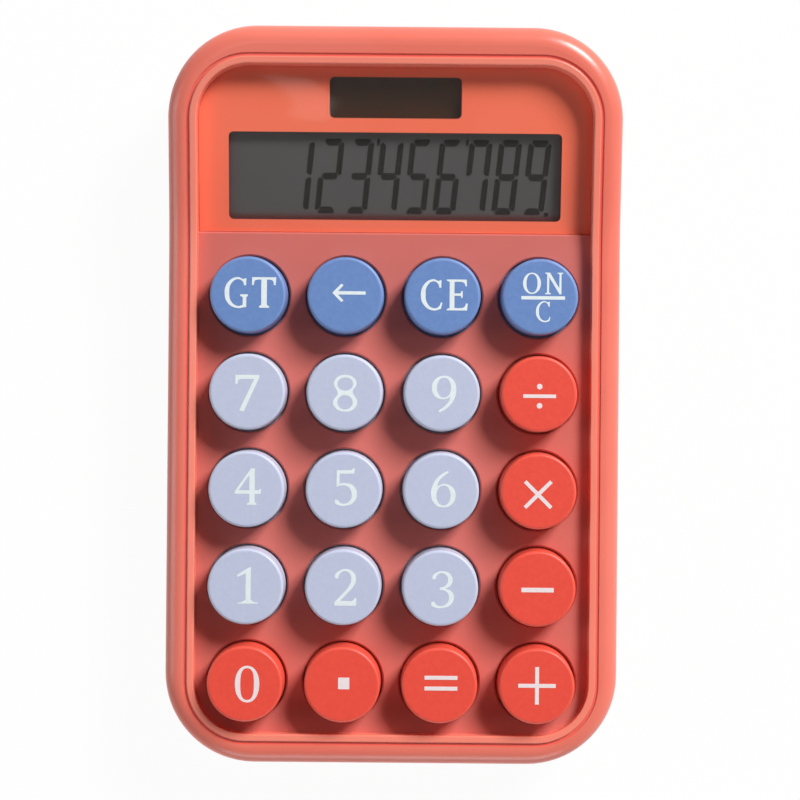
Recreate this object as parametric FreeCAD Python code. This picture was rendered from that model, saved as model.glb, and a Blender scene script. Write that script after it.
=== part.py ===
import FreeCAD, Part
import math
import os
from FreeCAD import Vector

# Keys, in millimetres
key_diameter = 15.2
key_gap = 3.85
key_columns = 4
key_rows = 5
key_height = 6.0
key_travel = 2.5
key_draft = 0.15
key_round = 0.6
key_wall = 1.4
key_roof = 1.8
key_post_diameter = 5.0
key_clearance = 0.35
flange_width = 0.65
flange_thickness = 1.2
notch_width = 2.2
guide_clearance = 0.3
guide_depth = 0.9
stop_gap = 0.1

# Rubber keypad under the keys
mat_thickness = 1.0
mat_margin = 1.5
dome_diameter = 10.0
dome_crown_diameter = 6.8
dome_crown = 1.5
dome_web = 0.7
pill_diameter = 4.0
pill_thickness = 1.0

# Outline of the case
side_margin = 2.725
front_margin = 2.7
panel_gap = 5.1
rim_width = 5.87
front_rim_width = 6.0
rear_rim_width = 7.7
corner_radius = 17.8
well_radius = 10.3
rim_height = 2.4
rim_round = 3.4
rim_roof = 2.4
lip_width = 1.45
lip_step = 0.3
lip_round = 0.3
groove_width = 0.6
groove_depth = 0.25
bend_radius = 60.0
display_tilt = 10.0
well_wall = 1.8
wall = 2.2
deck_thickness = 2.0
hole_chamfer = 0.3

# Base of the case
foot_drop = 1.2
foot_recess = 0.8
foot_diameter = 10.0
foot_inset = 13.0
foot_round = 0.5
floor_thickness = 2.0
base_round = 4.0
seam_height = 7.8
seam_chamfer = 0.3
tongue_thickness = 1.0
tongue_height = 1.5
tongue_clearance = 0.15
rib_thickness = 1.2

# Display window, its two openings and the parts behind it
lens_thickness = 1.0
lens_clearance = 0.15
deck_edge = 0.35
mask_thickness = 0.15
plate_thickness = 1.5
lcd_front_margin = 2.4
lcd_side_margin = 6.0
lcd_window_length = 17.3
window_gap = 2.8
solar_window_length = 8.0
solar_window_width = 26.0
lens_rear_margin = 2.2
window_round = 1.0
plate_relief = 0.7
lcd_overlap = 1.6
lcd_glass = 1.0
lcd_ledge = 2.0
reflector_thickness = 0.2
holder_thickness = 1.2
holder_clearance = 0.2
solar_overlap = 1.6
solar_thickness = 1.2
flex_width = 44.0
flex_thickness = 0.2
flex_landing = 4.5

# Circuit board and what it carries
board_clearance = 3.1
board_thickness = 1.6
board_inset = 2.0
board_gap = 0.6
board_rear_gap = 2.0
post_diameter = 5.0
post_clearance = 0.3
blob_diameter = 9.0
blob_height = 1.4

# Screws
case_screw_head = 4.4
case_screw_shank = 2.2
case_screw_length = 7.0
board_screw_head = 4.0
board_screw_shank = 1.8
board_screw_length = 5.0
holder_screw_length = 4.0
screw_head_height = 1.4
screw_clearance = 0.1
boss_wall = 1.1
rear_screw_gap = 4.0

# Button cell, its bay, its contacts and the twist cap under it
cell_diameter = 11.6
cell_height = 5.4
cell_clearance = 0.3
cell_step = 0.6
cap_floor = 1.4
cap_ring_wall = 1.9
cap_ring_height = 2.5
cap_clearance = 0.3
cap_recess = 0.1
lug_reach = 1.6
lug_thickness = 1.0
lug_clearance = 0.1
lug_angle = 40.0
lug_turn = 60.0
notch_margin = 3.0
slot_width = 2.0
slot_depth = 0.7
bay_gap = 2.0
bay_clearance = 0.5
bay_wall = 1.2
contact_space = 0.9
contact_thickness = 0.3
contact_width = 3.0
lead_diameter = 1.0
lead_bend = 1.6

# Plan positions worked out from the sizes above
tilt = math.radians(display_tilt)
pitch = key_diameter + key_gap
key_radius = key_diameter / 2
hole_radius = key_radius + key_clearance
flange_radius = hole_radius + flange_width
well_half = (key_columns - 1) / 2 * pitch + key_radius + side_margin
case_half = well_half + rim_width
seat_depth = lens_thickness + mask_thickness
plate_under = seat_depth + plate_thickness
solar_start = lcd_front_margin + lcd_window_length + window_gap
lens_length = (solar_start + solar_window_length + lens_rear_margin) * math.cos(tilt)
keypad_length = (key_rows - 1) * pitch + key_diameter
well_length = front_margin + keypad_length + panel_gap + lens_length
case_length = front_rim_width + well_length + rear_rim_width
case_front = -case_length / 2
case_rear = case_length / 2
well_front = case_front + front_rim_width
well_rear = case_rear - rear_rim_width
front_row = well_front + front_margin + key_radius
panel_line = well_rear - lens_length
column_x = [(i - (key_columns - 1) / 2) * pitch for i in range(key_columns)]
row_y = [front_row + (key_rows - 1 - j) * pitch for j in range(key_rows)]
gap_y = [y - pitch / 2 for y in row_y[:-1]]

# Heights, from the desk up
floor_under = foot_drop
floor_top = floor_under + floor_thickness
board_under = floor_top + board_clearance
board_top = board_under + board_thickness
mat_top = board_top + mat_thickness
pill_under = board_top + key_travel
dome_roof = pill_under + pill_thickness
dome_top = dome_roof + dome_crown
flange_top = dome_top + flange_thickness
deck_under = flange_top + stop_gap
deck_top = deck_under + deck_thickness
seam = floor_under + seam_height
above_all = deck_top + rim_height + case_length * math.tan(tilt)

# Button cell bay
cap_radius = cell_diameter / 2 + cell_clearance + cap_ring_wall
mouth_radius = cap_radius + cap_clearance
lug_radius = mouth_radius + lug_reach
bay_radius = lug_radius + bay_clearance
bay_outer = bay_radius + bay_wall
bay_y = case_rear - wall - bay_gap - bay_outer
cap_under = floor_under + cap_recess
cell_under = cap_under + cap_floor
cell_top = cell_under + cell_height
bay_roof = cell_top + contact_space
bay_top = bay_roof + bay_wall
lead_level = bay_top + lead_diameter

# Screws and board
boss_radius = case_screw_shank / 2 + boss_wall + 0.5
tube_radius = case_screw_head / 2 + boss_wall + screw_clearance
side_screw_x = column_x[-1] + pitch / 2
rear_screw_x = bay_outer + tube_radius + rear_screw_gap
rear_screw_y = case_rear - base_round - case_screw_head / 2 - 1
case_screw_places = [(s * side_screw_x, y) for s in (-1, 1) for y in (gap_y[0], gap_y[-1])]
case_screw_places += [(s * rear_screw_x, rear_screw_y) for s in (-1, 1)]
case_screw_seat = floor_top + 1.8
board_half = well_half - board_inset
board_front = row_y[-1] - pitch / 2
board_rear = bay_y - bay_outer - board_rear_gap
board_screw_places = [(s * pitch, y) for s in (-1, 1) for y in (gap_y[0], gap_y[-1])]
board_screw_places += [(0, gap_y[1])]

# Display plane: origin on the panel line, Y up the slope, Z out of the window
display_turn = FreeCAD.Rotation(Vector(1, 0, 0), display_tilt)
display = FreeCAD.Placement(Vector(0, panel_line, deck_top), display_turn)
lens_half = well_half - lens_clearance
lcd_half = well_half - lcd_side_margin
solar_half = solar_window_width / 2
lcd_rear = lcd_front_margin + lcd_window_length
solar_rear = solar_start + solar_window_length
glass_half = lcd_half + lcd_overlap
glass_front = lcd_front_margin - lcd_overlap
glass_rear = lcd_rear + lcd_overlap
ledge_top = -plate_under - lcd_glass
glass_under = ledge_top - lcd_glass
tray_top = glass_under - reflector_thickness
tray_under = tray_top - holder_thickness
holder_half = glass_half + holder_clearance + holder_thickness
ear_radius = board_screw_head / 2 + 0.4
ear_x = holder_half + ear_radius - holder_thickness / 2
ear_y = (glass_front + glass_rear) / 2


def outline(half, front, rear, front_radius, rear_radius):
    # Closed wire of a rectangle in plan with its own corner radius at each end
    wires = []
    corners = [
        (half, rear, rear_radius, 0),
        (-half, rear, rear_radius, 90),
        (-half, front, front_radius, 180),
        (half, front, front_radius, 270),
    ]
    ends = []
    for x, y, radius, start in corners:
        centre = Vector(x - math.copysign(radius, x), y - (radius if start < 180 else -radius), 0)
        marks = []
        for step in (0, 45, 90):
            angle = math.radians(start + step)
            marks.append(centre + Vector(math.cos(angle), math.sin(angle), 0) * radius)
        ends.append((marks[0], marks[2]))
        if radius > 0:
            wires.append(Part.Arc(*marks).toShape())
    for i in range(4):
        wires.append(Part.makeLine(ends[i][1], ends[(i + 1) % 4][0]))
    return Part.Wire(Part.__sortEdges__(wires))


def prism(wire, low, high):
    solid = Part.Face(wire).extrude(Vector(0, 0, high - low))
    solid.translate(Vector(0, 0, low))
    return solid


def case_plan(inset):
    radius = corner_radius - inset
    return outline(case_half - inset, case_front + inset, case_rear - inset, radius, radius)


def well_plan(grow):
    radius = well_radius + grow
    return outline(well_half + grow, well_front - grow, well_rear + grow, radius, radius)


def disc(radius, low, high, x=0, y=0):
    return Part.makeCylinder(radius, high - low, Vector(x, y, low))


def turned(points):
    # Solid of revolution about Z from corners given as radius and height
    wire = Part.makePolygon([Vector(r, 0, z) for r, z in points + points[:1]])
    return Part.Face(wire).revolve(Vector(0, 0, 0), Vector(0, 0, 1), 360)


def across(points):
    # Solid with this side section, running right across the case
    half = case_half + 5
    wire = Part.makePolygon([Vector(-half, y, z) for y, z in points + points[:1]])
    return Part.Face(wire).extrude(Vector(2 * half, 0, 0))


def placed(solid, x, y, z=0):
    copy = solid.copy()
    copy.translate(Vector(x, y, z))
    return copy


def on_display(solid):
    copy = solid.copy()
    copy.Placement = display.multiply(copy.Placement)
    return copy


def display_block(half, front, rear, low, high, radius=0):
    return on_display(prism(outline(half, front, rear, radius, radius), low, high))


def under_rim(level):
    # Everything below the rim surface, level along the keys and rising behind the panel line
    half = case_half + 5
    bend_y = panel_line - level * math.tan(tilt / 2)
    height = deck_top + level
    run = bend_radius * math.tan(tilt / 2)
    slope = Vector(0, math.cos(tilt), math.sin(tilt))
    start = Vector(-half, bend_y - run, height)
    end = Vector(-half, bend_y, height) + slope * run
    centre = start + Vector(0, 0, bend_radius)
    middle = centre + Vector(0, math.sin(tilt / 2), -math.cos(tilt / 2)) * bend_radius
    rear = Vector(-half, bend_y, height) + slope * case_length
    front = Vector(-half, case_front - 5, height)
    corners = [rear, Vector(-half, rear.y, -5), Vector(-half, front.y, -5), front]
    edges = [Part.makeLine(front, start), Part.Arc(start, middle, end).toShape()]
    edges.append(Part.makeLine(end, rear))
    edges += [Part.makeLine(corners[i], corners[i + 1]) for i in range(3)]
    return Part.Face(Part.Wire(edges)).extrude(Vector(2 * half, 0, 0))


def under_deck(deck_drop, seat_drop):
    # Everything below the deck and, behind the panel line, below a plane along the display
    seat = deck_top - seat_drop / math.cos(tilt)
    rear = panel_line + case_length
    deck = deck_top - deck_drop
    front = case_front - 5
    far = seat + case_length * math.tan(tilt)
    top = [(front, deck), (panel_line, deck), (panel_line, seat), (rear, far)]
    return across(top + [(rear, -5), (front, -5)])


def rim_edges(solid, half, front, rear):
    # Edges round the top of the rim, without the cross lines where the rim bends
    found = []
    for edge in solid.Edges:
        box = edge.BoundBox
        middle = edge.valueAt((edge.FirstParameter + edge.LastParameter) / 2)
        cross = box.YLength < 0.01 and box.XLength > half and front + 1 < middle.y < rear - 1
        upright = box.ZLength > 0.9 * edge.Length
        if box.ZMin > deck_top + rim_height / 2 and not cross and not upright:
            found.append(edge)
    return found


def screw(head, shank, length):
    # Screw driven upwards, seated under its head at height zero
    radius = head / 2
    bottom = -screw_head_height
    return turned([(0, bottom), (radius * 0.7, bottom), (radius, bottom * 0.6), (radius, 0), (shank / 2, 0),
                   (shank / 2, length - shank), (0, length)])


def lead(points):
    # Round wire through the points, with a bend at each inner one
    edges = []
    last = points[0]
    for before, corner, after in zip(points, points[1:], points[2:]):
        inward = (before - corner).normalize()
        onward = (after - corner).normalize()
        half = inward.getAngle(onward) / 2
        run = lead_bend / math.tan(half)
        centre = corner + (inward + onward).normalize() * (lead_bend / math.sin(half))
        middle = centre + (corner - centre).normalize() * lead_bend
        edges.append(Part.makeLine(last, corner + inward * run))
        edges.append(Part.Arc(corner + inward * run, middle, corner + onward * run).toShape())
        last = corner + onward * run
    edges.append(Part.makeLine(last, points[-1]))
    ring = Part.Wire(Part.makeCircle(lead_diameter / 2, points[0], points[1] - points[0]))
    return Part.Wire(edges).makePipeShell([ring], True, False)


def strip(points, width, x=0, y=0):
    # Bent metal strip from its middle line in X and Z, centred on the given place
    wire = Part.makePolygon([Vector(px, 0, pz) for px, pz in points])
    face = wire.makeOffset2D(contact_thickness / 2, 2, True, True)
    solid = face.extrude(Vector(0, width, 0))
    solid.translate(Vector(x, y - width / 2, 0))
    return solid


def key():
    # Round key with a stop flange, a hollow skirt and a post that stands on its dome
    top = deck_top + key_height
    radius = key_radius - key_draft
    roof = top - key_roof
    inner = key_radius - key_wall
    post = key_post_diameter / 2
    knee = key_round * (1 - math.sqrt(0.5))
    low = [(0, top), (radius - key_round, top)]
    high = [(radius, top - key_round), (key_radius, flange_top), (flange_radius, flange_top)]
    high += [(flange_radius, dome_top), (inner, dome_top), (inner, roof)]
    high += [(post, roof), (post, dome_top), (0, dome_top)]
    middle = Vector(radius - knee, 0, top - knee)
    arc = Part.Arc(Vector(low[1][0], 0, low[1][1]), middle, Vector(high[0][0], 0, high[0][1])).toShape()
    line = [Vector(r, 0, z) for r, z in high + low[:1]]
    edges = [Part.makeLine(Vector(0, 0, top), Vector(low[1][0], 0, top)), arc]
    edges += [Part.makeLine(a, b) for a, b in zip(line, line[1:])]
    solid = Part.Face(Part.Wire(edges)).revolve(Vector(0, 0, 0), Vector(0, 0, 1), 360)
    corner = Vector(-notch_width / 2, hole_radius, dome_top)
    return solid.cut(Part.makeBox(notch_width, flange_radius, flange_thickness, corner))


def key_guide():
    # Rib under the deck that runs in the key's notch and keeps its legend upright
    width = notch_width - 2 * guide_clearance
    length = flange_thickness + key_travel + stop_gap
    inner = hole_radius + guide_clearance
    return Part.makeBox(width, guide_depth, length + 0.5, Vector(-width / 2, inner, deck_under - length))


def key_hole():
    mouth = hole_radius + hole_chamfer
    return turned([(0, deck_under - 1), (hole_radius, deck_under - 1), (hole_radius, deck_top - hole_chamfer),
                   (mouth, deck_top), (mouth, deck_top + 1), (0, deck_top + 1)])


def each_key(solid):
    return [placed(solid, x, y) for y in row_y for x in column_x]


def top_shell():
    # Rim band and raised lip over a sunken deck, cored out from below
    band = prism(case_plan(0), seam, above_all).common(under_rim(rim_height))
    band = band.makeFillet(rim_round, rim_edges(band, case_half, case_front, case_rear)).cut(rim_groove())
    lip = prism(well_plan(lip_width), deck_under, above_all).common(under_rim(rim_height + lip_step))
    lip = lip.cut(prism(well_plan(0), deck_under - 1, above_all + 1))
    lip = lip.makeFillet(lip_round, rim_edges(lip, well_half, well_front, well_rear))
    tray = prism(well_plan(well_wall), seam - 1, above_all).cut(under_deck(deck_thickness, plate_under))
    cavity = prism(case_plan(wall), seam - 1, above_all).common(under_rim(rim_height - rim_roof)).cut(tray)
    rebate_inset = wall - tongue_thickness - tongue_clearance
    rebate = prism(case_plan(rebate_inset), seam - 1, seam + tongue_height + 0.2)
    shell = band.fuse(lip).cut([cavity, rebate])
    shell = shell.fuse(shell_bosses() + each_key(key_guide()))
    well = prism(well_plan(0), seam, above_all + 1).cut(under_deck(0, seat_depth))
    windows = windows_cut(plate_relief)
    shell = shell.cut([well, deck_bevel()] + windows + each_key(key_hole()) + shell_pilots())
    seam_edges = [e for e in shell.Edges if e.BoundBox.ZMax < seam + 0.01 and on_outline(e)]
    return shell.makeChamfer(seam_chamfer, seam_edges).removeSplitter()


def rim_groove():
    # Channel round the foot of the lip, reaching in under it
    ring = prism(well_plan(lip_width + groove_width), deck_under, above_all)
    ring = ring.cut(prism(well_plan(lip_width / 2), deck_under - 1, above_all + 1))
    return ring.cut(under_rim(rim_height - groove_depth))


def deck_bevel():
    # Slope along the deck where it meets the display window
    reach = deck_edge + 0.5
    section = [(panel_line - reach, deck_top + 0.5), (panel_line + 0.5, deck_top + 0.5)]
    section += [(panel_line + 0.5, deck_top - reach)]
    return across(section).common(prism(well_plan(0), seam, above_all))


def windows_cut(grow):
    # Openings over the digits and over the solar cell, grown all round
    low = -plate_under - 1
    lcd = display_block(lcd_half + grow, lcd_front_margin - grow, lcd_rear + grow, low, 1, window_round)
    solar = display_block(solar_half + grow, solar_start - grow, solar_rear + grow, low, 1, window_round)
    return [lcd, solar]


def on_outline(edge):
    # True for an edge that runs round the outside of the case
    middle = edge.valueAt((edge.FirstParameter + edge.LastParameter) / 2)
    return not Part.Face(case_plan(0.05)).isInside(Vector(middle.x, middle.y, 0), 0.01, True)


def shell_bosses():
    # Posts for the case screws, the board screws and the display holder screws
    bosses = []
    for x, y in case_screw_places:
        rise = max(0, y - panel_line) * math.tan(tilt)
        drop = seat_depth if y > panel_line else 0
        bosses.append(disc(boss_radius, seam, deck_top + rise - drop - 0.5, x, y))
    for x, y in board_screw_places:
        bosses.append(disc(post_diameter / 2, board_top, deck_top - 0.5, x, y))
    for side in (-1, 1):
        bosses.append(on_display(disc(ear_radius, tray_top, -seat_depth - 0.5, side * ear_x, ear_y)))
    return bosses


def shell_pilots():
    # Blind holes that the screws drive into
    pilots = []
    for x, y in case_screw_places:
        radius = case_screw_shank / 2 + screw_clearance / 2
        pilots.append(disc(radius, seam - 1, case_screw_seat + case_screw_length + 0.5, x, y))
    for x, y in board_screw_places:
        radius = board_screw_shank / 2 + screw_clearance / 2
        pilots.append(disc(radius, board_top - 1, board_under + board_screw_length + 0.5, x, y))
    for side in (-1, 1):
        radius = board_screw_shank / 2 + screw_clearance / 2
        depth = tray_under + holder_screw_length + 0.3
        pilots.append(on_display(disc(radius, tray_top - 1, depth, side * ear_x, ear_y)))
    return pilots


def bottom_shell():
    # Shallow tray with rounded edges, screw tubes, board ribs and the round cell bay
    body = prism(case_plan(0), floor_under, seam)
    low = [e for e in body.Edges if e.BoundBox.ZMax < floor_under + 0.01]
    body = body.makeFillet(base_round, low)
    high = [e for e in body.Edges if e.BoundBox.ZMin > seam - 0.01]
    body = body.makeChamfer(seam_chamfer, high)
    tongue = prism(case_plan(wall - tongue_thickness), seam - 2, seam + tongue_height)
    body = body.fuse(tongue).cut(prism(case_plan(wall), floor_top, seam + tongue_height + 1))
    extras = [disc(tube_radius, floor_top - 0.5, seam, x, y) for x, y in case_screw_places]
    extras += [board_rib(y) for y in row_y[1:-1]]
    extras.append(disc(bay_outer, floor_top - 0.5, bay_top, 0, bay_y))
    inside = prism(case_plan(wall - 0.2), floor_under + 0.5, above_all)
    body = body.fuse([e.common(inside) for e in extras])
    cuts = [disc(bay_radius, floor_top, bay_roof, 0, bay_y)]
    cuts.append(disc(mouth_radius, floor_under - 1, floor_top + 1, 0, bay_y))
    cuts += lug_notches() + contact_slots()
    for x, y in case_screw_places:
        cuts.append(disc(case_screw_head / 2 + screw_clearance, floor_under - 1, case_screw_seat, x, y))
        cuts.append(disc(case_screw_shank / 2 + screw_clearance, case_screw_seat - 1, seam + 1, x, y))
    for x, y in foot_places():
        cuts.append(disc(foot_diameter / 2 + 0.1, floor_under - 1, floor_under + foot_recess, x, y))
    return body.cut(cuts).removeSplitter()


def board_rib(y):
    return Part.makeBox(2 * board_half, rib_thickness, board_clearance + 0.5,
                        Vector(-board_half, y - rib_thickness / 2, floor_top - 0.5))


def sector(outer, inner, low, high, middle, spread):
    # Part ring about the cell axis, spanning an angle on either side of its middle
    ring = Part.makeCylinder(outer, high - low, Vector(0, 0, low), Vector(0, 0, 1), spread)
    ring = ring.cut(disc(inner, low - 1, high + 1))
    ring.rotate(Vector(0, 0, 0), Vector(0, 0, 1), middle - spread / 2)
    return placed(ring, 0, bay_y)


def lug_notches():
    # Two gaps in the bay's mouth that let the turned cap drop out
    spread = lug_angle + 2 * notch_margin
    outer = lug_radius + cap_clearance
    inner = mouth_radius - 1
    places = [angle - lug_turn for angle in (0, 180)]
    return [sector(outer, inner, floor_under - 1, floor_top + 1, place, spread) for place in places]


def battery_cap():
    # Twist cap that carries the cell, with two lugs over the floor and a coin slot below
    inner = cell_diameter / 2 + cell_clearance
    ring_top = cell_under + cap_ring_height
    edge = cap_radius - 0.4
    cap = turned([(0, cap_under), (edge, cap_under), (cap_radius, cap_under + 0.4), (cap_radius, ring_top),
                  (inner, ring_top), (inner, cell_under), (0, cell_under)])
    cap = placed(cap, 0, bay_y)
    low = floor_top + lug_clearance
    high = low + lug_thickness
    cap = cap.fuse([sector(lug_radius, inner + 0.5, low, high, angle, lug_angle) for angle in (0, 180)])
    length = 2 * (cap_radius - 2)
    corner = Vector(-length / 2, bay_y - slot_width / 2, cap_under)
    return cap.cut(Part.makeBox(length, slot_width, slot_depth, corner)).removeSplitter()


def contact_points(side):
    # Middle line of each contact: a sprung nose, a run along the bay and a tail through its roof
    edge = bay_radius - contact_thickness - 0.2
    tail = lead_level
    level = bay_roof - contact_thickness / 2
    if side < 0:
        return [(3, level), (1, cell_top + contact_thickness / 2), (-1, cell_top + contact_thickness / 2),
                (-3, level), (-edge, level), (-edge, tail)]
    reach = cell_diameter / 2 + 0.02 + contact_thickness / 2
    low = cell_under + cap_ring_height + 0.5
    return [(edge - 1, low), (reach, low + 1), (reach, low + 1.6), (edge, level), (edge, tail)]


def contact(side):
    return strip(contact_points(side), contact_width, 0, bay_y)


def contact_slots():
    edge = bay_radius - contact_thickness - 0.2
    width = contact_width + 0.4
    return [Part.makeBox(contact_thickness + 0.4, width, bay_wall + 2,
                         Vector(side * edge - contact_thickness / 2 - 0.2, bay_y - width / 2, bay_roof - 1))
            for side in (-1, 1)]


def button_cell():
    # Can with a smaller raised pole on top
    radius = cell_diameter / 2
    return placed(turned([(0, cell_under), (radius - 0.5, cell_under), (radius, cell_under + 0.5),
                          (radius, cell_top - cell_step), (radius - 1.2, cell_top - cell_step),
                          (radius - 1.6, cell_top), (0, cell_top)]), 0, bay_y)


def cell_leads():
    # Wires from the contact tails forward to the board
    edge = bay_radius - contact_thickness - 0.2
    y = board_rear - 1.5
    wires = []
    for side in (-1, 1):
        start = Vector(side * edge, bay_y - contact_width / 2, lead_level - lead_diameter / 2)
        corner = Vector(side * edge, y, lead_level - lead_diameter / 2)
        wires.append(lead([start, corner, Vector(side * edge, y, board_top)]))
    return Part.makeCompound(wires)


def solar_leads():
    # Wires from the back of the solar cell down and forward to the board
    x = solar_half + solar_overlap - lead_diameter
    middle = display.multVec(Vector(0, (solar_start + solar_rear) / 2, -plate_under - solar_thickness))
    y = board_rear - 1.5
    wires = []
    for side in (-1, 1):
        top = Vector(side * x, middle.y, middle.z + lead_diameter)
        corner = Vector(side * x, middle.y, lead_level - lead_diameter / 2)
        turn = Vector(side * x, y, corner.z)
        wires.append(lead([top, corner, turn, Vector(side * x, y, board_top)]))
    cell = display_block(case_half, -case_length, case_length, -plate_under - solar_thickness, case_length)
    return Part.makeCompound([wire.cut(cell) for wire in wires])


def tube_clearance():
    # Room round the case screw tubes that pass the edges of the board and the mat
    return [disc(tube_radius + board_gap, board_under - 1, mat_top + 1, x, y) for x, y in case_screw_places]


def main_board():
    board = prism(outline(board_half, board_front, board_rear, 2, 2), board_under, board_top)
    radius = board_screw_shank / 2 + screw_clearance
    holes = [disc(radius, board_under - 1, board_top + 1, x, y) for x, y in board_screw_places]
    return board.cut(holes + tube_clearance())


def controller_blob():
    # Drop of resin over the bonded chip
    radius = blob_diameter / 2
    ball = (radius ** 2 + blob_height ** 2) / (2 * blob_height)
    sphere = Part.makeSphere(ball, Vector(0, 0, board_top + blob_height - ball))
    drop = sphere.common(disc(radius + 1, board_top, board_top + blob_height + 1))
    return placed(drop, flex_width / 2 + blob_diameter / 2 + 1.5, board_rear - blob_diameter / 2 - 1)


def keypad_mat():
    # Rubber sheet with a hollow dome under every key
    low = row_y[-1] - dome_diameter / 2 - mat_margin
    high = row_y[0] + dome_diameter / 2 + mat_margin
    half = column_x[-1] + dome_diameter / 2 + mat_margin
    sheet = prism(outline(half, low, high, 2, 2), board_top, mat_top)
    foot = dome_diameter / 2
    crown = dome_crown_diameter / 2
    knee = dome_roof + dome_crown / 2
    dome = turned([(0, mat_top - 0.5), (foot, mat_top - 0.5), (foot, mat_top), (crown, knee),
                   (crown, dome_top), (0, dome_top)])
    hollow = turned([(0, board_top - 1), (foot - dome_web, board_top - 1), (foot - dome_web, mat_top),
                     (crown - dome_web, dome_roof), (0, dome_roof)])
    sheet = sheet.fuse(each_key(dome)).cut(each_key(hollow))
    radius = post_diameter / 2 + post_clearance
    holes = [disc(radius, board_top - 1, mat_top + 1, x, y) for x, y in board_screw_places]
    return sheet.cut(holes + tube_clearance()).removeSplitter()


def contact_pills():
    return Part.makeCompound(each_key(disc(pill_diameter / 2, pill_under, dome_roof)))


def lens_blank(low, high):
    # Slice of the display window between two depths, fitted to the rear of the well
    radius = well_radius - lens_clearance
    plan = outline(lens_half, panel_line + lens_clearance, well_rear - lens_clearance, 0.3, radius)
    return prism(plan, seam, above_all).common(display_block(case_half, -case_length, case_length, low, high))


def display_lens():
    return lens_blank(-lens_thickness, 0)


def display_mask():
    # Printed film behind the window, open over the digits and over the solar cell
    return lens_blank(-seat_depth, -lens_thickness).cut(windows_cut(0))


def lcd_panel():
    # Two sheets of glass, the rear one longer by its contact ledge
    front = display_block(glass_half, glass_front, glass_rear, ledge_top, -plate_under)
    rear = display_block(glass_half, glass_front - lcd_ledge, glass_rear, glass_under, ledge_top)
    return front.fuse(rear).removeSplitter()


def lcd_reflector():
    return display_block(glass_half - 0.5, glass_front, glass_rear - 0.5, tray_top, glass_under)


def lcd_holder():
    # Tray that holds the glass up to the case, open at the front for the ribbon, with two screw ears
    half = glass_half + holder_clearance
    front = glass_front - lcd_ledge
    rear = glass_rear + holder_clearance
    tray = display_block(holder_half, front, rear + holder_thickness, tray_under, -plate_under)
    pocket = display_block(half, front - 1, rear, tray_top, 1)
    lightening = display_block(half - 6, ear_y - 5, ear_y + 5, tray_under - 1, 1, 2)
    tray = tray.cut([pocket, lightening])
    ears = [on_display(disc(ear_radius, tray_under, tray_top, side * ear_x, ear_y)) for side in (-1, 1)]
    clear = [display_block(glass_half + holder_clearance, -case_length, case_length, tray_top, 1)]
    posts = [on_display(disc(ear_radius + 0.1, tray_top, 1, side * ear_x, ear_y)) for side in (-1, 1)]
    holes = [on_display(disc(board_screw_shank / 2 + screw_clearance, tray_under - 1, 1, side * ear_x, ear_y))
             for side in (-1, 1)]
    return tray.fuse(ears).cut(clear + posts + holes).removeSplitter()


def lcd_ribbon():
    # Flat ribbon from the glass ledge, round one bend, down onto the board
    ahead = Vector(0, -math.cos(tilt), -math.sin(tilt))
    inward = Vector(0, math.sin(tilt), -math.cos(tilt))
    rise = flex_thickness / 2
    begin = display.multVec(Vector(0, glass_front - 0.1, ledge_top + rise))
    turn = display.multVec(Vector(0, glass_front - lcd_ledge - 0.3, ledge_top + rise))
    radius = (turn.z - board_top - rise) / (1 + math.cos(tilt))
    centre = turn + inward * radius
    sides = []
    for offset in (-rise, rise):
        bend = radius - offset
        marks = [begin + inward * offset, turn + inward * offset]
        low = centre + Vector(0, 0, -bend)
        half = math.pi + tilt / 2
        marks.append(centre + Vector(0, math.cos(half), math.sin(half)) * bend)
        marks += [low, low + Vector(0, flex_landing, 0)]
        sides.append(marks)
    edges = []
    for marks in sides:
        edges.append(Part.makeLine(marks[0], marks[1]))
        edges.append(Part.Arc(marks[1], marks[2], marks[3]).toShape())
        edges.append(Part.makeLine(marks[3], marks[4]))
    edges.append(Part.makeLine(sides[0][0], sides[1][0]))
    edges.append(Part.makeLine(sides[0][4], sides[1][4]))
    face = Part.Face(Part.Wire(Part.__sortEdges__(edges)))
    ribbon = face.extrude(Vector(flex_width, 0, 0))
    ribbon.translate(Vector(-flex_width / 2, 0, 0))
    return ribbon


def solar_cell():
    margin = solar_overlap / 2
    return display_block(solar_half + solar_overlap, solar_start - margin, solar_rear + margin,
                         -plate_under - solar_thickness, -plate_under)


def foot_places():
    x = case_half - foot_inset
    return [(side * x, end * (case_rear - foot_inset)) for side in (-1, 1) for end in (-1, 1)]


def rubber_feet():
    radius = foot_diameter / 2
    foot = turned([(0, 0), (radius - foot_round, 0), (radius, foot_round), (radius, foot_drop + foot_recess),
                   (0, foot_drop + foot_recess)])
    return Part.makeCompound([placed(foot, x, y) for x, y in foot_places()])


def case_screws():
    one = screw(case_screw_head, case_screw_shank, case_screw_length)
    return Part.makeCompound([placed(one, x, y, case_screw_seat) for x, y in case_screw_places])


def board_screws():
    one = screw(board_screw_head, board_screw_shank, board_screw_length)
    return Part.makeCompound([placed(one, x, y, board_under) for x, y in board_screw_places])


def holder_screws():
    one = screw(board_screw_head, board_screw_shank, holder_screw_length)
    return Part.makeCompound([on_display(placed(one, side * ear_x, ear_y, tray_under)) for side in (-1, 1)])


key_names = [
    ["total", "back", "clear_entry", "on_clear"],
    ["7", "8", "9", "divide"],
    ["4", "5", "6", "times"],
    ["1", "2", "3", "minus"],
    ["0", "point", "equals", "plus"],
]

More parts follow.
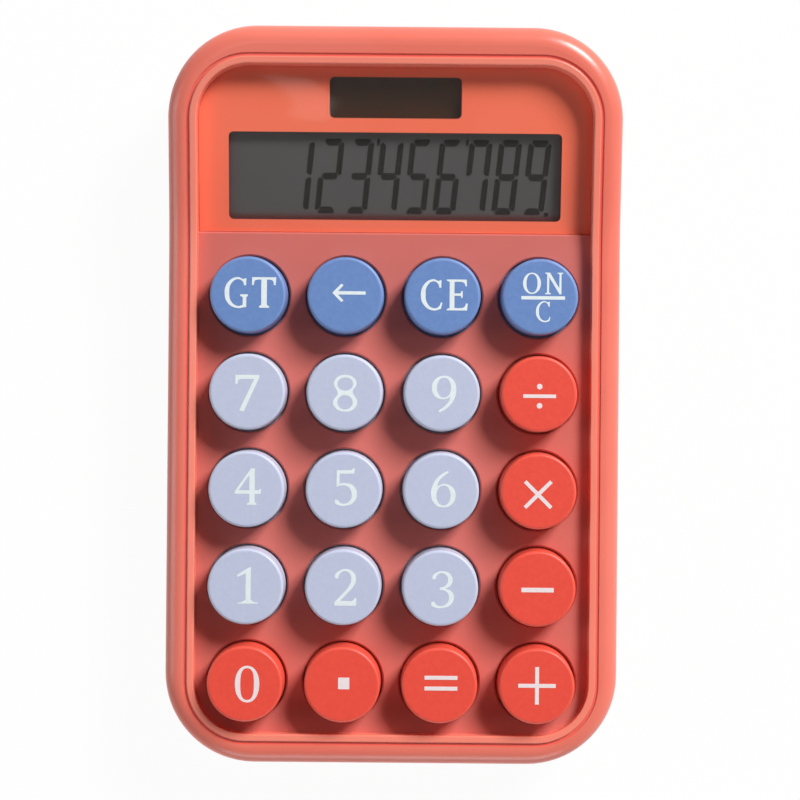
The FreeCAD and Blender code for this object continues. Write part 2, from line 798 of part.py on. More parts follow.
nodes = {
    "top_shell": top_shell(),
    "bottom_shell": bottom_shell(),
    "battery_cap": battery_cap(),
    "button_cell": button_cell(),
    "cell_contact_negative": contact(-1),
    "cell_contact_positive": contact(1),
    "cell_leads": cell_leads(),
    "main_board": main_board(),
    "controller_blob": controller_blob(),
    "keypad_mat": keypad_mat(),
    "contact_pills": contact_pills(),
    "display_lens": display_lens(),
    "display_mask": display_mask(),
    "lcd_panel": lcd_panel(),
    "lcd_reflector": lcd_reflector(),
    "lcd_holder": lcd_holder(),
    "lcd_ribbon": lcd_ribbon(),
    "solar_cell": solar_cell(),
    "solar_leads": solar_leads(),
    "rubber_feet": rubber_feet(),
    "case_screws": case_screws(),
    "board_screws": board_screws(),
    "holder_screws": holder_screws(),
}
one_key = key()
for names, y in zip(key_names, row_y):
    for name, x in zip(names, column_x):
        nodes["key_" + name] = placed(one_key, x, y)

os.makedirs("parts", exist_ok=True)
for name, shape in nodes.items():
    shape.exportStep("parts/" + name + ".step")
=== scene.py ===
import math
import bpy
from mathutils import Matrix, Vector


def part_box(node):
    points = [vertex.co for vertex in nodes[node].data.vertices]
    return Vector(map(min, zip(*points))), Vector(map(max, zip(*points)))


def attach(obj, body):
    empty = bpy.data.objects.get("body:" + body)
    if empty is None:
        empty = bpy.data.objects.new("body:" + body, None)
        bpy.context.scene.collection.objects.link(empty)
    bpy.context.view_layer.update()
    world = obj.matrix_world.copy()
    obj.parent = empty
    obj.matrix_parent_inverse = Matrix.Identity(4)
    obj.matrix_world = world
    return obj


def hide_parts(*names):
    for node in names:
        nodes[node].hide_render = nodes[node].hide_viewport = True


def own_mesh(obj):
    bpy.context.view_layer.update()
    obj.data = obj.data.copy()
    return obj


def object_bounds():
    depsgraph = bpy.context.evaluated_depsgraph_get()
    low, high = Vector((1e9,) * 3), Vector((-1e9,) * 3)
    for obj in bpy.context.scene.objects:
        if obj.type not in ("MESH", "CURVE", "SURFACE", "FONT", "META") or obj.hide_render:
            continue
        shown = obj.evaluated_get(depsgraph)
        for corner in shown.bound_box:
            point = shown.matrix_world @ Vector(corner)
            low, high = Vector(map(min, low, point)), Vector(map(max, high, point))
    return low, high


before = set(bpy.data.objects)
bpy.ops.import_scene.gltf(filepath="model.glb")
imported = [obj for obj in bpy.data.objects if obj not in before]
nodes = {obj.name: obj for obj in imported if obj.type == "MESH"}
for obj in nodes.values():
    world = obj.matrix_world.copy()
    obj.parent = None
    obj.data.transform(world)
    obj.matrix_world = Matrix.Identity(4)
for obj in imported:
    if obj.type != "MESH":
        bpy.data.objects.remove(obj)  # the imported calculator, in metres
cadLow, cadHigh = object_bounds()
print("frame loaded:", len(nodes), "nodes")

keypad = {  # where the keys and the rubber under them stand, from the CAD frame
    "pitch": 0.01905,
    "columnX": 0.009525,
    "rowY": 0.000898,
    "deckTop": 0.0162,
    "flangeRadius": 0.0086,
}
display = {  # the sloping display end: hinge line, slope and how deep its glass lies
    "hinge": (0, 0.03265, 0.0162),
    "slope": math.radians(10),
    "glassDepth": 0.00265,
    "windowHalf": 0.0329,
    "windowFront": 0.0024,
}
bayY = 0.05675  # middle of the cell bay


class Wire:  # a node's output that can be used in sums
    def __init__(self, finish, socket):
        self.finish = finish
        self.socket = socket

    def sums(self, operation, first, second=0.0):
        return self.finish.node("Math", {"operation": operation}, {0: first, 1: second})

    def __add__(self, other):
        return self.sums("ADD", self, other)

    def __radd__(self, other):
        return self.sums("ADD", other, self)

    def __sub__(self, other):
        return self.sums("SUBTRACT", self, other)

    def __rsub__(self, other):
        return self.sums("SUBTRACT", other, self)

    def __mul__(self, other):
        return self.sums("MULTIPLY", self, other)

    def __rmul__(self, other):
        return self.sums("MULTIPLY", other, self)

    def __pow__(self, other):
        return self.sums("POWER", self, other)

    def __abs__(self):
        return self.sums("ABSOLUTE", self)

    def __lt__(self, other):
        return self.sums("LESS_THAN", self, other)

    def __gt__(self, other):
        return self.sums("GREATER_THAN", self, other)

    def atLeast(self, floor):
        return self.sums("MAXIMUM", self, floor)

    def atMost(self, ceiling):
        return self.sums("MINIMUM", self, ceiling)


class Finish:  # a material, or a world, under construction
    def __init__(self, name, tree=None):
        if tree is None:
            self.material = bpy.data.materials.new(name)
            self.material.use_nodes = True
            tree = self.material.node_tree
        self.tree = tree
        tree.nodes.clear()

    def node(self, kind, settings=None, sockets=None, output=0):
        made = self.tree.nodes.new("ShaderNode" + kind)
        for key, value in (settings or {}).items():
            setattr(made, key, value)
        for key, value in (sockets or {}).items():
            if isinstance(value, Wire):
                self.tree.links.new(value.socket, made.inputs[key])
            else:
                made.inputs[key].default_value = value
        return Wire(self, made.outputs[output])

    def place(self, stretch=None):
        spot = self.node("TexCoord", output="Object")
        if stretch:
            spot = self.node("Mapping", sockets={"Vector": spot, "Scale": stretch})
        return spot

    def axes(self):
        apart = self.node("SeparateXYZ", sockets={0: self.place()}).socket.node
        return [Wire(self, output) for output in apart.outputs]

    def noise(self, scale, detail=3.0, rough=0.55, stretch=None):
        return self.node("TexNoise", sockets={"Vector": self.place(stretch), "Scale": scale, "Detail": detail,
                                              "Roughness": rough})

    def ease(self, value, low, high, start=0.0, end=1.0):  # from start at low, smoothly, to end at high
        limits = {"From Min": low, "From Max": high, "To Min": start, "To Max": end}
        return self.node("MapRange", {"interpolation_type": "SMOOTHSTEP"}, {"Value": value, **limits})

    def wrap(self, value, step):  # how far value is from the nearest whole number of steps
        return self.node("Math", {"operation": "WRAP"}, {0: value, 1: step / 2, 2: -step / 2})

    def wave(self, value, step):  # 0 to 1 and back once in each step
        return self.node("Math", {"operation": "SINE"}, {0: value * (2 * math.pi / step)}) * 0.5 + 0.5

    def blend(self, share, first, second):  # 6, 7 and 2 are the colour sockets of a Mix node
        sockets = {0: share, 6: opaque(first), 7: opaque(second)}
        return self.node("Mix", {"data_type": "RGBA"}, sockets, output=2)

    def bump(self, height, depth, strength=1.0):
        return self.node("Bump", sockets={"Strength": strength, "Distance": depth, "Height": height})

    def done(self, sockets):
        return self.ended(self.node("BsdfPrincipled", sockets=sockets))

    def ended(self, shader):
        end = self.tree.nodes.new("ShaderNodeOutputMaterial")
        self.tree.links.new(shader.socket, end.inputs["Surface"])
        return self.material


def opaque(colour):
    return colour if isinstance(colour, Wire) else (*colour, 1.0)


def dress(material, *names):  # put a material on CAD nodes, in their own slots
    for name in names:
        for slot in nodes[name].material_slots:
            slot.material = material


# upper case: glossy moulded rim and outside, satin deck inside the well, with painted light on the lip strip
# and painted shade in the groove and on the deck
caseLook = {
    "coral": (0.790, 0.158, 0.107),
    "paler": (0.815, 0.180, 0.126),
    # lighter copy of the coral: painted light and sheen on the flat lip strip and inside it
    "lip": (0.885, 0.230, 0.158),
    # darker, redder coral: painted shade in the groove round the foot of the lip
    "paintedGrooveShade": (0.800, 0.115, 0.080),
    # the deck's colour, darker and duller than the rim: partly its own satin texture, partly painted shade of
    # the recessed well
    "deckCoralWithShade": (0.580, 0.132, 0.106),
    "gloss": 0.28,
    "deckSatin": 0.70,
    "wellHalf": 0.0389,
    "wellFront": -0.06655,
    "wellRear": 0.06485,
    "wellRound": 0.0103,
    "wellSlack": 0.00002,
    "deckReach": 0.0005,
    "lipEdge": 0.0014,
    "lipFade": 0.0002,
    "rubbedWide": 0.00035,
    "grooveMiddle": 0.00172,
    "grooveCore": 0.00025,
    "grooveFade": 0.00050,
    "cloudScale": 34.0,
    "grainScale": 2600.0,
    "peelScale": 420.0,
    "smearScale": 60.0,
    "relief": 0.00001,
}


def wellDistance(finish, look):  # below nought inside the well's rounded outline
    x, y, z = finish.axes()
    middle = (look["wellFront"] + look["wellRear"]) / 2
    halfLength = (look["wellRear"] - look["wellFront"]) / 2
    acrossWell = (abs(x) - (look["wellHalf"] - look["wellRound"])).atLeast(0.0)
    alongWell = (abs(y - middle) - (halfLength - look["wellRound"])).atLeast(0.0)
    return (acrossWell * acrossWell + alongWell * alongWell) ** 0.5 - look["wellRound"], z


def caseMaterial(look):
    finish = Finish("caseCoral")
    outside, z = wellDistance(finish, look)
    deck = (outside < -look["wellSlack"]) * (z < keypad["deckTop"] + look["deckReach"])
    clouds = finish.noise(look["cloudScale"], 2.0)
    grain = finish.noise(look["grainScale"], 2.0)
    peel = finish.noise(look["peelScale"], 1.0)
    smear = finish.ease(finish.noise(look["smearScale"], 4.0), 0.42, 0.72)
    lipCorner = finish.ease(abs(outside - look["lipEdge"]), 0.0, look["rubbedWide"], 1.0, 0.0)
    rubbed = lipCorner * finish.ease(clouds, 0.35, 0.65)
    coral = finish.blend(finish.ease(clouds, 0.3, 0.7), look["coral"], look["paler"])
    # painted light: the lip strip and the walls inside it take the lighter coral
    lip = finish.ease(outside, look["lipEdge"], look["lipEdge"] + look["lipFade"], 1.0, 0.0)
    coral = finish.blend(lip, coral, look["lip"])
    # painted shade along the groove between the outer band and the lip
    besideGroove = abs(outside - look["grooveMiddle"])
    paintedGrooveShade = finish.ease(besideGroove, look["grooveCore"], look["grooveFade"], 0.85, 0.0)
    coral = finish.blend(paintedGrooveShade, coral, look["paintedGrooveShade"])
    coral = finish.blend(rubbed * 0.35, coral, look["paler"])
    gloss = look["gloss"] + smear * 0.05 + grain * 0.03 - rubbed * 0.05
    satin = look["deckSatin"] + grain * 0.10
    height = peel * 0.6 + grain * (0.10 + deck * 0.9)
    return finish.done({
        # the deck takes the darker coral, partly satin texture and partly painted shade
        "Base Color": finish.blend(deck, coral, look["deckCoralWithShade"]),
        "Roughness": gloss * (1.0 - deck) + satin * deck,
        "Normal": finish.bump(height, look["relief"], 0.6),
        "IOR": 1.5,
    })


dress(caseMaterial(caseLook), "top_shell")
print("upper case dressed")


# lower case and cell cap: finely sparked, a little duller
baseLook = {
    "coral": (0.790, 0.152, 0.106),
    "paler": (0.825, 0.176, 0.128),
    "satin": 0.40,
    "cloudScale": 45.0,
    "sparkScale": 3800.0,
    "scuffScale": 150.0,
    "relief": 0.00003,
}


def baseMaterial(look):
    finish = Finish("baseCoral")
    clouds = finish.ease(finish.noise(look["cloudScale"], 2.0), 0.3, 0.7)
    spark = finish.noise(look["sparkScale"], 3.0, 0.7)
    scuff = finish.ease(finish.noise(look["scuffScale"], 5.0, 0.7), 0.60, 0.78)
    return finish.done({
        "Base Color": finish.blend(clouds * 0.7 + scuff * 0.3, look["coral"], look["paler"]),
        "Roughness": look["satin"] + spark * 0.12 - scuff * 0.08,
        "Normal": finish.bump(spark, look["relief"], 0.7),
        "IOR": 1.5,
    })


dress(baseMaterial(baseLook), "bottom_shell", "battery_cap")
print("lower case dressed")


# keys: satin moulded caps, paler where the top edge rolls over
keyLooks = {
    "blue": {"body": (0.134, 0.245, 0.522), "worn": (0.226, 0.340, 0.650), "deep": (0.118, 0.220, 0.490)},
    "lavender": {"body": (0.520, 0.560, 0.715), "worn": (0.650, 0.680, 0.815), "deep": (0.485, 0.528, 0.690)},
    "red": {"body": (0.810, 0.070, 0.040), "worn": (0.880, 0.130, 0.080), "deep": (0.760, 0.060, 0.034)},
}
keyFinish = {
    "satin": 0.50,
    "edgeIn": 0.00668,
    "edgeOut": 0.00740,
    "mottleScale": 1100.0,
    "grainScale": 5200.0,
    "relief": 0.000012,
}
keyRows = [  # from the display to the front edge, left to right
    ("total", "back", "clear_entry", "on_clear"),
    ("7", "8", "9", "divide"),
    ("4", "5", "6", "times"),
    ("1", "2", "3", "minus"),
    ("0", "point", "equals", "plus"),
]
keyColours = {"blue": keyRows[0], "lavender": ("7", "8", "9", "4", "5", "6", "1", "2", "3"),
              "red": ("divide", "times", "minus", "plus", "0", "point", "equals")}


def keyRadial(finish):  # distance from the middle line of whichever key the point is under
    x, y = finish.axes()[:2]
    sideways = finish.wrap(x - keypad["columnX"], keypad["pitch"])
    lengthways = finish.wrap(y - keypad["rowY"], keypad["pitch"])
    return (sideways * sideways + lengthways * lengthways) ** 0.5


def keyMaterial(name, look):
    finish = Finish(name + "Key")
    radial = keyRadial(finish)
    edge = finish.ease(radial, keyFinish["edgeIn"], keyFinish["edgeOut"])
    mottle = finish.ease(finish.noise(keyFinish["mottleScale"], 3.0, 0.6), 0.35, 0.68)
    grain = finish.noise(keyFinish["grainScale"], 2.0)
    body = finish.blend(mottle * 0.8, look["deep"], look["body"])
    return finish.done({
        "Base Color": finish.blend(edge * 0.40, body, look["worn"]),
        "Roughness": keyFinish["satin"] + grain * 0.10 - edge * 0.14,
        "Normal": finish.bump(grain * 0.5 + mottle * 0.8, keyFinish["relief"], 0.6),
        "IOR": 1.48,
    })


def keyTop(name):  # middle of a key's top face
    low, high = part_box("key_" + name)
    return Vector(((low.x + high.x) / 2, low.y + keypad["flangeRadius"], high.z))


for colour, names in keyColours.items():
    dress(keyMaterial(colour, keyLooks[colour]), *["key_" + name for name in names])
print("keys dressed")


# display: clear window, printed film, glass, solar cell
lensLook = {
    "ior": 1.24,
    "polish": 0.04,
    "half": 0.03872,
    "front": 0.0328,
    "rear": 0.0645,
    "round": 0.0101,
    "thick": 0.00096,
    "soft": 0.00012,
    "cornerStep": 6,
    "wipeScale": 120.0,
}


def lensMaterial(look):
    finish = Finish("lensClear")
    back = finish.node("NewGeometry", output="Backfacing")
    wipe = finish.noise(look["wipeScale"], 4.0)
    mirror = finish.node("BsdfGlossy", sockets={"Roughness": look["polish"] + wipe * 0.03})
    clear = finish.node("BsdfTransparent")
    shine = finish.node("Fresnel", sockets={"IOR": look["ior"]}) * (1.0 - back)
    return finish.ended(finish.node("MixShader", sockets={0: shine, 1: clear, 2: mirror}))


maskLook = {
    "ink": (0.955, 0.182, 0.098),
    "thin": (0.965, 0.208, 0.120),
    "matt": 0.42,
    "screenScale": 6000.0,
    "cloudScale": 50.0,
    "relief": 0.000004,
}


def maskMaterial(look):  # ink printed on the back of the film, with a fine screen
    finish = Finish("maskPrint")
    screen = finish.noise(look["screenScale"], 1.0)
    clouds = finish.ease(finish.noise(look["cloudScale"], 2.0), 0.3, 0.7)
    return finish.done({
        "Base Color": finish.blend(clouds * 0.6 + screen * 0.3, look["ink"], look["thin"]),
        "Roughness": look["matt"] + screen * 0.08,
        "Normal": finish.bump(screen, look["relief"], 0.4),
        "IOR": 1.12,  # the window lies right on it
    })


glassLook = {
    "lit": (0.074, 0.069, 0.068),
    "dim": (0.062, 0.058, 0.057),
    # red-brown of the painted shade along the front edge and sides
    "edge": (0.066, 0.014, 0.012),
    "rough": 0.30,
    "filmScale": 900.0,
    "shadeScale": 40.0,
    "lineStep": 0.00074,
    "frontShadeFrom": 0.0021,
    "frontShadeFull": 0.0006,
    "sideShadeFade": 0.0026,
}


def glassMaterial(look):  # dark glass, with painted shade reddened by the case along its front edge and painted shade at its sides
    finish = Finish("lcdGlass")
    x, y = finish.axes()[:2]
    film = finish.noise(look["filmScale"], 2.0)
    lines = finish.wave(x, look["lineStep"])
    shade = finish.ease(finish.noise(look["shadeScale"], 2.0), 0.25, 0.75)
    front = display["hinge"][1] + display["windowFront"]
    # painted shade, reddened by the case, along the front edge
    paintedFrontShade = finish.ease(y - front, look["frontShadeFull"], look["frontShadeFrom"], 1.0, 0.0)
    # painted shade darkening the left and right sides
    dim = finish.ease(abs(x), display["windowHalf"] - look["sideShadeFade"], display["windowHalf"], 0.0, 0.3)
    grey = finish.blend(shade * 0.7 + film * 0.2 + lines * 0.1, look["dim"], look["lit"])
    return finish.done({
        "Base Color": finish.blend((paintedFrontShade + dim).atMost(1.0), grey, look["edge"]),
        "Roughness": look["rough"] + film * 0.06,
        "IOR": 1.35,
    })


solarLook = {
    "body": (0.038, 0.0155, 0.006),
    "line": (0.050, 0.028, 0.018),
    "lift": 1.25,
    "cells": 4,
    "lineCore": 0.00006,
    "lineFade": 0.00014,
    "tintScale": 300.0,
}


def solarMaterial(look):  # dark cell, its strips parted by fine lines
    finish = Finish("solarGlass")
    x = finish.axes()[0]
    low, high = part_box("solar_cell")
    beside = abs(finish.wrap(x - low.x, (high.x - low.x) / look["cells"]))
    line = finish.ease(beside, look["lineCore"], look["lineFade"], 1.0, 0.0)
    tint = finish.noise(look["tintScale"], 3.0)
    lifted = tuple(look["lift"] * c for c in look["body"])
    deep = finish.blend(finish.ease(tint, 0.3, 0.7), look["body"], lifted)
    return finish.done({
        "Base Color": finish.blend(line * 0.35, deep, look["line"]),
        "Roughness": 0.20 + tint * 0.08,
        "IOR": 1.25,
    })


dress(lensMaterial(lensLook), "display_lens")
dress(maskMaterial(maskLook), "display_mask")
dress(glassMaterial(glassLook), "lcd_panel")
dress(solarMaterial(solarLook), "solar_cell")
print("display dressed")


# inside: board, chip drop, holder, films, cell, contacts and wires
boardLook = {
    "lacquer": (0.030, 0.160, 0.072),
    "track": (0.075, 0.260, 0.120),
    "carbon": (0.014, 0.014, 0.015),
    "patch": 0.0027,
    "patchFade": 0.00008,
    "finger": 0.00056,
    "trackAcross": 0.0021,
    "trackAlong": 0.0034,
    "wander": 0.012,
    "wanderScale": 55.0,
    "weave": 0.0005,
    "relief": 0.00003,
}


def boardMaterial(look):
    finish = Finish("boardLaminate")
    x, y = finish.axes()[:2]
    patch = finish.ease(keyRadial(finish), look["patch"], look["patch"] + look["patchFade"], 1.0, 0.0)
    fingers = finish.wave(x, look["finger"]) > 0.42
    wander = finish.noise(look["wanderScale"], 1.0) * look["wander"]
    acrossTrack = finish.wave(x + wander, look["trackAcross"]) > 0.80
    alongTrack = finish.wave(y + wander, look["trackAlong"]) > 0.90
    track = acrossTrack.atLeast(alongTrack)
    weave = finish.wave(x, look["weave"]) * finish.wave(y, look["weave"])
    lacquer = finish.blend(track * 0.8 + weave * 0.15, look["lacquer"], look["track"])
    return finish.done({
        "Base Color": finish.blend(patch * fingers, lacquer, look["carbon"]),
        "Roughness": 0.30 + weave * 0.08 + patch * 0.25,
        "Normal": finish.bump(track + patch * fingers + weave * 0.2, look["relief"], 0.6),
    })


resinLook = {"dark": (0.010, 0.010, 0.011), "pale": (0.028, 0.028, 0.030), "grain": 1500.0, "rough": 0.16,
             "relief": 0.000006}
holderLook = {"dark": (0.024, 0.024, 0.027), "pale": (0.042, 0.042, 0.045), "grain": 2800.0, "rough": 0.42,
              "relief": 0.00002}
filmLook = {"dark": (0.46, 0.47, 0.45), "pale": (0.60, 0.61, 0.59), "grain": 5000.0, "rough": 0.36,
            "relief": 0.000006}
footLook = {"dark": (0.040, 0.040, 0.043), "pale": (0.095, 0.090, 0.086), "grain": 3200.0, "rough": 0.62,
            "relief": 0.00003}
mouldedClouds = 90.0


def mouldedMaterial(name, look):  # mouldings, resin, film and rubber, each with its own grain
    finish = Finish(name)
    grain = finish.noise(look["grain"], 3.0, 0.65)
    clouds = finish.ease(finish.noise(mouldedClouds, 3.0), 0.40, 0.75)
    return finish.done({
        "Base Color": finish.blend(clouds * 0.6 + grain * 0.4, look["dark"], look["pale"]),
        "Roughness": look["rough"] + grain * 0.15,
        "Normal": finish.bump(grain, look["relief"], 0.7),
    })


ribbonLook = {"amber": (0.46, 0.22, 0.050), "track": (0.30, 0.125, 0.030), "step": 0.0010, "hazeScale": 400.0,
              "relief": 0.00002}


def ribbonMaterial(look):
    finish = Finish("ribbonFilm")
    x = finish.axes()[0]
    track = finish.ease(finish.wave(x, look["step"]), 0.40, 0.60)
    haze = finish.noise(look["hazeScale"], 3.0)
    return finish.done({
        "Base Color": finish.blend(track, look["amber"], look["track"]),
        "Roughness": 0.28 + haze * 0.15,
        "Normal": finish.bump(track, look["relief"], 0.5),
    })


wireLook = {"red": (0.420, 0.016, 0.014), "black": (0.016, 0.016, 0.018), "drawnScale": 900.0,
            "relief": 0.00002}


def wireMaterial(look):  # one red and one black of each pair
    finish = Finish("leadInsulation")
    x = finish.axes()[0]
    drawn = finish.noise(look["drawnScale"], 3.0)
    return finish.done({
        "Base Color": finish.blend(x > 0.0, look["black"], look["red"]),
        "Roughness": 0.34 + drawn * 0.18,
        "Normal": finish.bump(drawn, look["relief"], 0.5),
    })


steelLook = {
    "bright": (0.70, 0.70, 0.69),
    "dull": (0.52, 0.52, 0.52),
    "stainScale": 180.0,
    "relief": 0.000008,
    "gasket": (0.030, 0.030, 0.032),
    "gasketIn": 0.0049,
    "gasketOut": 0.0052,
    "cupStretch": (1.0, 8.0, 1.0),
    "cupScale": 700.0,
    "cupRelief": 0.000006,
}


def steelMaterial(name, look, stretch, scale):  # plated steel, brushed one way
    finish = Finish(name)
    brushed = finish.noise(scale, 3.0, 0.6, stretch)
    stain = finish.ease(finish.noise(look["stainScale"], 3.0), 0.45, 0.75)
    return finish.done({
        "Base Color": finish.blend(brushed * 0.6 + stain * 0.4, look["bright"], look["dull"]),
        "Metallic": 1.0 - stain * 0.1,
        "Roughness": 0.24 + brushed * 0.16,
        "Normal": finish.bump(brushed, look["relief"], 0.5),
    })


def cellMaterial(look):  # button cell: two cups with a dark gasket between them
    finish = Finish("cellSteel")
    x, y = finish.axes()[:2]
    away = y - bayY
    radial = (x * x + away * away) ** 0.5
    gasket = (radial > look["gasketIn"]) * (radial < look["gasketOut"])
    brushed = finish.noise(look["cupScale"], 3.0, 0.6, look["cupStretch"])
    cups = finish.blend(brushed, look["bright"], look["dull"])
    return finish.done({
        "Base Color": finish.blend(gasket, cups, look["gasket"]),
        "Metallic": 1.0 - gasket,
        "Roughness": 0.20 + brushed * 0.14 + gasket * 0.3,
        "Normal": finish.bump(brushed, look["cupRelief"], 0.5),
    })


dress(boardMaterial(boardLook), "main_board")
dress(mouldedMaterial("chipResin", resinLook), "controller_blob")
dress(mouldedMaterial("holderBlack", holderLook), "lcd_holder")
dress(mouldedMaterial("lcdFilm", filmLook), "lcd_reflector")
dress(mouldedMaterial("footRubber", footLook), "rubber_feet")
dress(ribbonMaterial(ribbonLook), "lcd_ribbon")
dress(wireMaterial(wireLook), "solar_leads", "cell_leads")
dress(cellMaterial(steelLook), "button_cell")
contactSteel = steelMaterial("contactSteel", steelLook, (1.0, 12.0, 12.0), 350.0)
screwSteel = steelMaterial("screwSteel", steelLook, (6.0, 6.0, 1.0), 700.0)
dress(contactSteel, "cell_contact_negative", "cell_contact_positive")
dress(screwSteel, "board_screws", "holder_screws")
print("inner parts dressed")


# printed marks and flat pieces: drawn as outlines, filled, and made a mesh
inkLook = {"mint": (0.80, 0.87, 0.89), "blush": (0.89, 0.77, 0.78), "fade": 0.93, "wornScale": 1500.0,
           "relief": 0.000004}
cutLook = {"curveSteps": 8, "merge": 0.000002}


def inkMaterial(name, look):
    finish = Finish(name)
    worn = finish.ease(finish.noise(look["wornScale"], 4.0, 0.65), 0.30, 0.75)
    faded = tuple(look["fade"] * c for c in look[name])
    return finish.done({
        "Base Color": finish.blend(worn, faded, look[name]),
        "Roughness": 0.46 + worn * 0.12,
        "Normal": finish.bump(worn, look["relief"], 0.5),
    })


def takeUp(piece):  # select this piece alone
    bpy.ops.object.select_all(action="DESELECT")
    piece.select_set(True)
    bpy.context.view_layer.objects.active = piece


def cutOut(name, loops, unit, thick, place, material):
    # loops of (x, y) corners and (x, y, 1) curved points, filled to a plate of this thickness
    drawing = bpy.data.curves.new(name, "CURVE")
    drawing.dimensions = "2D"
    drawing.fill_mode = "BOTH"
    drawing.resolution_u = cutLook["curveSteps"]
    for loop in loops:
        spline = drawing.splines.new("BEZIER")
        spline.bezier_points.add(len(loop) - 1)
        spline.use_cyclic_u = True
        for point, mark in zip(spline.bezier_points, loop):
            point.co = (mark[0] * unit, mark[1] * unit, 0)
            point.handle_left_type = point.handle_right_type = "AUTO" if len(mark) > 2 else "VECTOR"
    drawing.extrude = thick / 2
    piece = bpy.data.objects.new(name, drawing)
    bpy.context.scene.collection.objects.link(piece)
    takeUp(piece)
    bpy.ops.object.convert(target="MESH")
    piece = bpy.context.view_layer.objects.active
    bpy.ops.object.mode_set(mode="EDIT")
    bpy.ops.mesh.select_all(action="SELECT")
    bpy.ops.mesh.remove_doubles(threshold=cutLook["merge"])
    bpy.ops.mesh.normals_make_consistent(inside=False)
    bpy.ops.object.mode_set(mode="OBJECT")
    piece.data.transform(place)  # its place goes into its mesh
    piece.data.materials.clear()
    piece.data.materials.append(material)
    return piece


def ellipse(x, y, wide, tall):
    return [(x - wide, y, 1), (x, y + tall, 1), (x + wide, y, 1), (x, y - tall, 1)]


def bar(x, y, wide, tall, soft=0.5):
    a, b = wide / 2, tall / 2
    return [(x - a + soft, y - b), (x + a - soft, y - b), (x + a, y - b + soft), (x + a, y + b - soft),
            (x + a - soft, y + b), (x - a + soft, y + b), (x - a, y + b - soft), (x - a, y - b + soft)]


def cross(reach, half):
    return [(-half, reach), (half, reach), (half, half), (reach, half), (reach, -half), (half, -half),
            (half, -reach), (-half, -reach), (-half, -half), (-reach, -half), (-reach, half), (-half, half)]


def shifted(loops, x, y, size=1.0, turn=1):
    return [[(x + turn * p[0] * size, y + turn * p[1] * size, *p[2:]) for p in loop] for loop in loops]


nine = [[(18.6, 16.2), (15.5, 14.0, 1), (11.0, 13.2, 1), (3.2, 16.6, 1), (0, 24.6, 1), (3.6, 33.8, 1),
         (12.8, 37.5, 1), (21.8, 33.6, 1), (25.2, 23.5, 1), (22.6, 12.8, 1), (15.8, 4.4, 1), (8.0, 0),
         (7.0, 2.4), (13.4, 7.2, 1), (17.2, 11.8, 1)], ellipse(12.5, 25.2, 6.7, 9.5)]
letterC = [[(21.2, 31.0), (20.9, 22.8), (18.6, 22.8), (17.2, 26.9, 1), (12.8, 29.2, 1), (7.2, 25.2, 1),
            (5.3, 16.2, 1), (7.6, 6.8, 1), (13.6, 2.9, 1), (18.2, 4.6, 1), (20.4, 9.0), (22.2, 8.3),
            (20.8, 1.8), (13.2, 0, 1), (3.9, 4.6, 1), (0, 16, 1), (3.8, 27.2, 1), (12.8, 32, 1),
            (18.2, 30.3, 1), (19.6, 31.0)]]
letterE = [[(0, 0), (20.9, 0), (21.6, 7.6), (19.4, 7.6), (18.0, 4.4, 1), (15.5, 2.9), (8.2, 2.9),
            (8.2, 14.6), (14.0, 14.6), (14.6, 12.4), (16.4, 12.4), (16.4, 20.0), (14.6, 20.0),
            (14.0, 17.6), (8.2, 17.6), (8.2, 28.6), (15.0, 28.6), (17.6, 27.2, 1), (18.6, 24.2),
            (20.6, 24.2), (20.4, 31.5), (0, 31.5), (0, 29.8), (2.8, 28.6), (2.8, 2.9), (0, 1.7)]]
letterG = [[(22.4, 30.4), (22.0, 22.8), (19.6, 22.8), (18.2, 26.6, 1), (13.6, 28.9, 1), (7.4, 25.0, 1),
            (5.3, 16.0, 1), (7.4, 6.8, 1), (13.8, 2.7, 1), (18.2, 3.8), (18.2, 11.2), (15.6, 12.3),
            (15.6, 14.4), (23.9, 14.4), (23.9, 12.3), (22.4, 11.2), (22.4, 1.2), (19.6, 0.8),
            (13.0, 0, 1), (3.8, 4.6, 1), (0, 15.8, 1), (3.8, 26.8, 1), (13.2, 31.6, 1), (19.2, 29.8, 1),
            (20.8, 30.4)]]
letterT = [[(0.2, 31.1), (24.9, 31.1), (24.4, 22.6), (22.0, 22.8), (21.0, 27.0, 1), (18.5, 28.2),
            (15.6, 28.2), (15.6, 3.4), (18.0, 1.9), (18.0, 0), (7.2, 0), (7.2, 1.9), (9.4, 3.4),
            (9.4, 28.2), (6.2, 28.2), (3.4, 27.0, 1), (2.6, 22.8), (0, 22.6)]]
letterN = [[(0, 0), (6.4, 0), (6.4, 1.2), (4.6, 2.2), (4.6, 16.8), (14.6, 0), (17.0, 0), (17.0, 20.0),
            (18.6, 21.0), (18.6, 22.2), (12.4, 22.2), (12.4, 21.0), (14.4, 20.0), (14.4, 6.6),
            (5.4, 22.2), (0, 22.2), (0, 21.0), (2.0, 20.0), (2.0, 2.2), (0, 1.2)]]
letterO = [ellipse(9.4, 11.1, 9.4, 11.1), ellipse(9.4, 11.1, 5.2, 8.8)]
